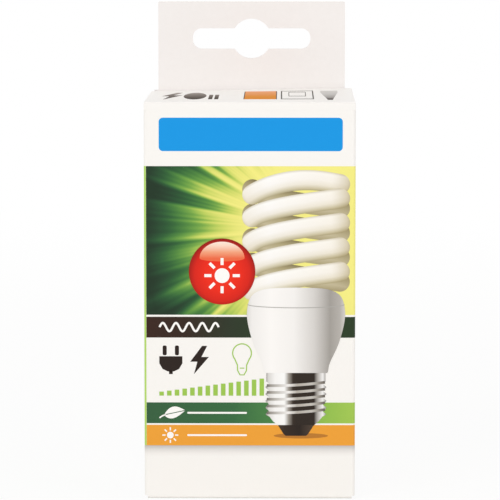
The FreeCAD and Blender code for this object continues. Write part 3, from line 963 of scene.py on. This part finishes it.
def leafShapes(s, z):
    # a pointed leaf in two halves with a bare midrib, and its stalk
    shapes, length, rise, ribHalf = [], 6.0, 1.3, 0.13
    steps = [i / 20 for i in range(21)]
    for side, reach in ((1, 1.75), (-1, 1.45)):
        rib = [(s + length * t, z + rise * t + side * ribHalf) for t in steps]
        edge = []
        for t in steps[1:-1]:
            out = ribHalf + reach * math.sin(math.pi * t**0.8)
            edge.append((s + length * t, z + rise * t + side * out))
        shapes.append([rib + edge[::-1]])
    return shapes + [ribbon([(s - 1.5, z - 0.9), (s - 0.6, z - 0.3), (s + 0.4, z + 0.1)], 0.42)]


signLook = {
    "wave": (4.5, 21.9, 51.05, 1.25, 4.5),  # start, end, height, swing, waves
    "gaugeBars": 14,
    "rule": (12.6, 30.2, 0.55),
}


def waveShape():
    start, end, height, swing, waves = signLook["wave"]
    path = []
    for i in range(91):
        share = i / 90
        path.append((start + (end - start) * share, height + swing * math.sin(math.tau * waves * share)))
    return ribbon(path, 0.62)


def ruleShape(z):
    start, end, width = signLook["rule"]
    return [block(start, z - width / 2, end, z + width / 2, width / 2 - 0.01, 4)]


rayTree = makeRayTree()
discInk = makeInk("discInk", discTone)
discShineInk = makeInk("discShineInk", upTone(71.4, 76.6, discLook["shine"]))
layShapes("discFilm", [[circle(discLook["s"], discLook["z"], discLook["radius"], 96)]], 9, discInk)
layShapes("discShineFilm", [[shineShape()]], 10, discShineInk)
drawSun("discSun", discLook["s"], discLook["z"] - discLook["sunDrop"], discLook["sun"], 11)
layShapes("waveFilm", [waveShape()], 2, whiteInk)
layShapes("plugFilm", plugShapes(7.8, 37.4) + [boltShape(16.2, 37.3)], 1, brownInk)
layShapes("bulbSignFilm", bulbSignShapes(), 1, limeLineInk)
layShapes("leafFilm", leafShapes(5.9, 25.0) + [ruleShape(25.6)], 2, whiteInk)
layShapes("sunRuleFilm", [ruleShape(18.95)], 2, whiteInk)
drawSun("bandSun", 7.6, 18.95, 2.35, 2)
gauge = {
    "Count": signLook["gaugeBars"],
    "First": onFront(5.05, 30.7, 1),
    "Step": 2.27 * mm,
    "Width": 1.35 * mm,
    "Depth": filmSetup["thickness"] * mm,
    "Low": 1.2 * mm,
    "High": 5.1 * mm,
    "Ink": limeLineInk,
}
growPiece("gaugeBars", makeGaugeTree(), gauge)
print("signs done")


def copyNode(node, name):
    # a welded copy of a CAD node's mesh, to be shaped as a piece of its own
    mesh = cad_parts[node].data.copy()
    mesh.name = name
    shape = bmesh.new()
    shape.from_mesh(mesh)
    bmesh.ops.remove_doubles(shape, verts=shape.verts, dist=1e-7)
    return mesh, shape


def makeLidPanel():
    # the lid with its tuck, cut into short lengths so that it can warp
    mesh, shape = copyNode("lid_flap", "lidPanel")
    for normal in ((1, 0, 0), (0, 1, 0)):
        for i in range(-lidSetup["cuts"], lidSetup["cuts"] + 1):
            spot = Vector(normal) * i * lidSetup["step"] * mm
            everything = shape.verts[:] + shape.edges[:] + shape.faces[:]
            bmesh.ops.bisect_plane(shape, geom=everything, plane_co=spot, plane_no=normal, dist=1e-6)
    flatPlace = shape.verts.layers.float_vector.new("flatPlace")
    for vert in shape.verts:
        vert[flatPlace] = vert.co
        vert.co.z += lidWarp(vert.co.x, vert.co.y)
    bmesh.ops.recalc_face_normals(shape, faces=shape.faces)
    shape.to_mesh(mesh)
    shape.free()
    mesh.materials.clear()
    mesh.materials.append(makeBoardMaterial("lidBoxboard", boardLook, lidDepth, "flatPlace"))
    panel = bpy.data.objects.new("lidPanel", mesh)
    scene.collection.objects.link(panel)
    mesh.shade_smooth()
    mesh.set_sharp_from_angle(angle=math.radians(25))
    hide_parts("lid_flap")
    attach(panel, "lid")


makeLidPanel()

creaseLook = {
    "halfWidth": 30.9,  # mm
    "radius": 0.75,
    "down": 1.6,
    "back": 1.8,
    "lift": 0.02,
    "thickness": 0.03,
    "nextToArc": 0.08,
    "arcSteps": 12,
    "columns": 40,
}


def makeCrease():
    # the board's coated skin, unbroken over the crease between the front and the lid
    look = creaseLook
    front, top, radius = -halfSide - look["lift"], lidSetup["top"] + look["lift"], look["radius"]
    outer = [(front, top - radius - look["down"]), (front, top - radius - look["nextToArc"])]
    for i in range(look["arcSteps"] + 1):
        angle = math.radians(180 - 90 * i / look["arcSteps"])
        outer.append((front + radius + radius * math.cos(angle), top - radius + radius * math.sin(angle)))
    outer += [(front + radius + look["nextToArc"], top), (front + radius + look["back"], top)]
    inner = [(y + look["thickness"], z - look["thickness"]) for y, z in outer]
    columns = [look["halfWidth"] * (2 * i / look["columns"] - 1) for i in range(look["columns"] + 1)]
    ring = outer + inner[::-1]
    mesh = bpy.data.meshes.new("lidCrease")
    shape = bmesh.new()
    rows = [[shape.verts.new(Vector((x, y, z)) * mm) for y, z in ring] for x in columns]
    count = len(ring)
    for a, b in zip(rows, rows[1:]):
        for i in range(count):
            j = (i + 1) % count
            shape.faces.new([a[i], a[j], b[j], b[i]])
    for row in (rows[0], rows[-1]):
        for i in range(count // 2 - 1):
            shape.faces.new([row[i], row[i + 1], row[count - 2 - i], row[count - 1 - i]])
    bmesh.ops.recalc_face_normals(shape, faces=shape.faces)
    shape.to_mesh(mesh)
    shape.free()
    mesh.materials.append(makeBoardMaterial("creaseBoxboard", boardLook))
    mesh.shade_smooth()
    mesh.set_sharp_from_angle(angle=math.radians(25))
    crease = bpy.data.objects.new("lidCrease", mesh)
    scene.collection.objects.link(crease)
    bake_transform(crease)


makeCrease()

# The lid's print, as (distance from the left edge, distance from the front edge).
lidInks = {
    "brown": ((0, "#2d231b"), (0.45, "#6d645d"), (1, "#a29a93")),
    "orange": ((0, "#e08a1c"), (0.35, "#e4923a"), (1, "#efa77a")),
    "line": "#4c4641",
    "cone": ((0, "#1f1915"), (0.14, "#6f6964"), (0.3, "#aaa5a1"), (0.6, "#c9c5c1"), (1, "#dad6d2")),
}
lidStops = [halfSide + lidSetup["step"] * i for i in range(-lidSetup["cuts"], lidSetup["cuts"] + 1)]
lidCuts = [(normal, stop) for normal in ((1, 0, 0), (0, 1, 0)) for stop in lidStops]
onLid = {"skin": lidSkin, "body": "lid", "cuts": lidCuts}


def lidSignShapes():
    # a bolt, a disc and a pair of short bars
    bolt = [(8.4, 48.0), (4.3, 30.0), (6.6, 30.0), (5.2, 13.0), (10.4, 34.5), (7.8, 34.5), (10.2, 48.0)]
    bars = [[block(a, 14.5, a + 1.2, 36.0, 0.3)] for a in (18.5, 20.3)]
    return [[bolt], [circle(14.3, 30.3, 3.4, 48, squash=4.9)]] + bars


def matInk(name, colour):
    # unvarnished ink, for the lid
    return makeInk(name, colour, roughness=0.7, sheen=0.04)


lidBrownInk = matInk("lidBrownInk", upTone(12, 48, lidInks["brown"]))
layShapes("lidSignFilm", lidSignShapes(), 1, lidBrownInk, **onLid)
lidOrangeInk = matInk("lidOrangeInk", upTone(14, 51, lidInks["orange"]))
layShapes("lidOrangeFilm", [[block(29.2, 14.2, 38.7, 51.0, 0.4)]], 1, lidOrangeInk, **onLid)
lidLineInk = matInk("lidLineInk", lidInks["line"])
frames = [[block(40.1, 14.2, 49.9, 51.0, 0.4), block(40.45, 16.2, 49.55, 49.6, 0.3)]]
frames.append([block(42.4, 27.0, 47.6, 46.0, 0.4), block(42.6, 28.6, 47.4, 44.6, 0.3)])
layShapes("lidFrameFilm", frames, 1, lidLineInk, **onLid)
edges = [(29.0, 29.25), (38.65, 38.9)]
layShapes("lidOrangeEdges", [[block(a, 14.0, b, 50.0, 0.1, 2)] for a, b in edges], 2, lidLineInk, **onLid)
coneEdge = ((0.7, 11.2), (1.2, 20.0), (2.6, 42.0), (2.6, 50.0))
cone = [(54.7 + half, w) for half, w in coneEdge] + [(54.7 - half, w) for half, w in coneEdge[::-1]]
lidConeInk = matInk("lidConeInk", upTone(11, 50, lidInks["cone"]))
layShapes("lidConeFilm", [[cone]], 1, lidConeInk, **onLid)
print("lid done")


def makeTubeGlass():
    # soda-lime tube with a phosphor lining: opaque creamy white under a clear hard gloss
    material, tree, shader = newMaterial("phosphorGlass")
    point = place(tree)[0]
    cloud = addNode(tree, "ShaderNodeTexNoise", {"Vector": point, "Scale": 0.08, "Detail": 3})
    tone = mix(tree, cloud.outputs[0], linear("#fbf8f1"), linear("#f1ecdf"))
    tree.links.new(tone, shader.inputs["Base Color"])
    shader.inputs["Roughness"].default_value = 0.28
    shader.inputs["IOR"].default_value = 1.52
    shader.inputs["Coat Weight"].default_value = 1.0
    shader.inputs["Coat Roughness"].default_value = 0.03
    return material


def makeHousingPlastic():
    # injection moulded PBT: cool white, satin, with a fine spark-eroded grain
    material, tree, shader = newMaterial("mouldedPbt")
    point = place(tree)[0]
    grain = addNode(tree, "ShaderNodeTexNoise", {"Vector": point, "Scale": 4.0, "Detail": 2})
    relief = {"Strength": 0.5, "Distance": 0.01 * mm, "Height": grain.outputs[0]}
    bump = addNode(tree, "ShaderNodeBump", relief)
    tree.links.new(bump.outputs[0], shader.inputs["Normal"])
    tone = mix(tree, grain.outputs[0], linear("#f4f3f0"), linear("#eeedea"))
    tree.links.new(tone, shader.inputs["Base Color"])
    shader.inputs["Roughness"].default_value = 0.32
    shader.inputs["IOR"].default_value = 1.55
    return material


def makeCapMetal():
    # rolled, nickel-plated sheet: bright, with faint draw marks round the cap
    material, tree, shader = newMaterial("nickelPlatedSheet")
    height = place(tree)[3]
    rows = maths(tree, "MULTIPLY", height, 9.0)
    marks = addNode(tree, "ShaderNodeTexNoise", {"W": rows, "Scale": 1.0, "Detail": 3}, noise_dimensions="1D")
    rough = maths(tree, "MULTIPLY_ADD", marks.outputs[0], 0.12, 0.14)
    tree.links.new(rough, shader.inputs["Roughness"])
    shader.inputs["Base Color"].default_value = linear("#d8d4cd")
    shader.inputs["Metallic"].default_value = 1.0
    return material


def makeCapGlass():
    # black vitrite glass that fills the cap's foot
    material, tree, shader = newMaterial("vitriteGlass")
    point = place(tree)[0]
    ripple = addNode(tree, "ShaderNodeTexNoise", {"Vector": point, "Scale": 0.6, "Detail": 2})
    relief = {"Strength": 0.4, "Distance": 0.05 * mm, "Height": ripple.outputs[0]}
    bump = addNode(tree, "ShaderNodeBump", relief)
    tree.links.new(bump.outputs[0], shader.inputs["Normal"])
    tone = mix(tree, ripple.outputs[0], linear("#1b1512"), linear("#2a211b"))
    tree.links.new(tone, shader.inputs["Base Color"])
    shader.inputs["Roughness"].default_value = 0.12
    shader.inputs["IOR"].default_value = 1.52
    return material


def makeContactMetal():
    # tinned brass contact with solder on it
    material, tree, shader = newMaterial("tinnedBrass")
    point = place(tree)[0]
    blotch = addNode(tree, "ShaderNodeTexNoise", {"Vector": point, "Scale": 0.5, "Detail": 4})
    tone = mix(tree, blotch.outputs[0], linear("#cdc6b4"), linear("#a9a295"))
    tree.links.new(tone, shader.inputs["Base Color"])
    shader.inputs["Metallic"].default_value = 1.0
    tree.links.new(maths(tree, "MULTIPLY_ADD", blotch.outputs[0], 0.25, 0.2), shader.inputs["Roughness"])
    return material


housingPlastic = makeHousingPlastic()
setMaterial("discharge_tube", makeTubeGlass())
setMaterial("ballast_housing", housingPlastic)
setMaterial("tube_holder", housingPlastic)
setMaterial("cap_insulator", makeCapGlass())
setMaterial("centre_contact", makeContactMetal())

screwCap = {
    "foot": 8.2,  # mm
    "root": 12.15,
    "crest": 13.1,
    "cone": 4.6,
    "skirt": 3.6,
    "runOut": 1.1,
    "pitch": 3.62,
    "edge": 0.3,
    "blend": 0.25,
    "sides": 80,
    "rows": 110,
}


def capRadius(up, turn, height):
    # radius at a height over the cap's foot: a cone, the rolled thread, then the plain skirt
    shape = screwCap
    middle, depth = (shape["crest"] + shape["root"]) / 2, (shape["crest"] - shape["root"]) / 2
    thread = middle + depth * math.cos(math.tau * ((up - shape["cone"]) / shape["pitch"] - turn))
    cone = shape["foot"] + (shape["crest"] - shape["foot"]) * up / shape["cone"]
    share = min(max((up - height + shape["skirt"] + shape["runOut"]) / shape["runOut"], 0.0), 1.0)
    thread += (shape["crest"] - thread) * share * share * (3 - 2 * share)
    # where cone and thread meet, the sheet bends round
    near = max(shape["blend"] - abs(cone - thread), 0.0) / shape["blend"]
    rolled = max(up - height + shape["edge"], 0.0)
    return min(cone, thread) - near * near * shape["blend"] / 4 - rolled * rolled / shape["edge"] / 2


def makeScrewCap(material):
    # the screw cap with a right-hand helical thread, in place of the solid's turned ridges
    low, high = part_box("screw_shell")
    height = (high.z - low.z) / mm
    mesh = bmesh.new()
    rings = []
    for row in range(screwCap["rows"] + 1):
        up = height * row / screwCap["rows"]
        ring = []
        for side in range(screwCap["sides"]):
            turn = side / screwCap["sides"]
            radius = capRadius(up, turn, height) * mm
            x, y = radius * math.cos(math.tau * turn), radius * math.sin(math.tau * turn)
            ring.append(mesh.verts.new((x, y, low.z + up * mm)))
        rings.append(ring)
    for lower, upper in zip(rings, rings[1:]):
        for i in range(len(lower)):
            j = (i + 1) % len(lower)
            mesh.faces.new((lower[i], lower[j], upper[j], upper[i])).smooth = True
    for ring, level in ((rings[0], low.z), (rings[-1], high.z)):
        middle = mesh.verts.new((0, 0, level))
        for i in range(len(ring)):
            mesh.faces.new((ring[i], ring[(i + 1) % len(ring)], middle))
            mesh.edges.get((ring[i], ring[(i + 1) % len(ring)])).smooth = False
    bmesh.ops.recalc_face_normals(mesh, faces=mesh.faces)
    data = bpy.data.meshes.new("screwCap")
    mesh.to_mesh(data)
    mesh.free()
    data.materials.append(material)
    cap = bpy.data.objects.new("screwCap", data)
    scene.collection.objects.link(cap)
    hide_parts("screw_shell")
    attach(cap, "carton")


makeScrewCap(makeCapMetal())
print("bulb done")

stageSetup = {
    "floorSize": 12.0,  # m
    "floorGlow": 0.9,
    "floorColour": "#f4f3f1",
    "worldStrength": 0.67,
    "keyPower": 8.6,
    "fillPower": 4.3,
    "topPower": 1.5,
}


def seenDirectly(tree):
    # one for rays of the camera, and for those that metal and glass send on
    path = addNode(tree, "ShaderNodeLightPath")
    seen = maths(tree, "MAXIMUM", path.outputs["Is Camera Ray"], path.outputs["Is Glossy Ray"])
    return maths(tree, "MAXIMUM", seen, path.outputs["Is Transmission Ray"])


def makeFloorMaterial(setup):
    # seen by the camera and in reflections as a white sweep that keeps the soft shadow
    material, tree, shader = newMaterial("studioFloor")
    output = next(n for n in tree.nodes if n.type == "OUTPUT_MATERIAL")
    shader.inputs["Base Color"].default_value = linear(setup["floorColour"])
    shader.inputs["Roughness"].default_value = 0.9
    shader.inputs["Specular IOR Level"].default_value = 0.1
    white = addNode(tree, "ShaderNodeEmission", {"Color": (1, 1, 1, 1), "Strength": 1.0})
    spot = addNode(tree, "ShaderNodeTexCoord").outputs["Object"]
    far = addNode(tree, "ShaderNodeVectorMath", {0: spot}, operation="LENGTH").outputs["Value"]
    glow = addNode(
        tree,
        "ShaderNodeMapRange",
        {"Value": far, "From Min": 0.1, "From Max": 0.9, "To Min": setup["floorGlow"], "To Max": 1.0},
        interpolation_type="SMOOTHSTEP",
    )
    share = maths(tree, "MULTIPLY", seenDirectly(tree), glow.outputs[0])
    blended = addNode(tree, "ShaderNodeMixShader", {0: share, 1: shader.outputs[0], 2: white.outputs[0]})
    tree.links.new(blended.outputs[0], output.inputs["Surface"])
    return material


def addFloor(setup):
    half = setup["floorSize"] / 2
    mesh = bpy.data.meshes.new("studioFloor")
    corners = [(-half, -half, 0), (half, -half, 0), (half, half, 0), (-half, half, 0)]
    mesh.from_pydata(corners, [], [(0, 1, 2, 3)])
    mesh.materials.append(makeFloorMaterial(setup))
    floor = bpy.data.objects.new("studioFloor", mesh)
    scene.collection.objects.link(floor)


def addSoftbox(name, location, target, size, power):
    data = bpy.data.lights.new(name, "AREA")
    data.shape = "RECTANGLE"
    data.size, data.size_y = size
    data.energy = power
    light = bpy.data.objects.new(name, data)
    light.location = location
    light.rotation_euler = (Vector(target) - Vector(location)).to_track_quat("-Z", "Y").to_euler()
    scene.collection.objects.link(light)


def addWorld(setup):
    world = bpy.data.worlds.new("studioWorld")
    scene.world = world
    world.use_nodes = True
    tree = world.node_tree
    tree.nodes.clear()
    # the light stays low, and the backdrop is white
    strength = maths(tree, "MAXIMUM", seenDirectly(tree), setup["worldStrength"])
    background = addNode(tree, "ShaderNodeBackground", {"Color": (1, 1, 1, 1), "Strength": strength})
    output = addNode(tree, "ShaderNodeOutputWorld")
    tree.links.new(background.outputs[0], output.inputs["Surface"])


addFloor(stageSetup)
addWorld(stageSetup)
addSoftbox("keySoftbox", (-0.9, -1.3, 1.0), (0, 0, 0.07), (0.9, 0.9), stageSetup["keyPower"])
addSoftbox("fillSoftbox", (1.2, -1.1, 0.6), (0, 0, 0.07), (0.9, 0.9), stageSetup["fillPower"])
addSoftbox("topSoftbox", (0.0, 0.3, 1.4), (0, 0, 0.07), (0.8, 0.8), stageSetup["topPower"])
print("stage done")
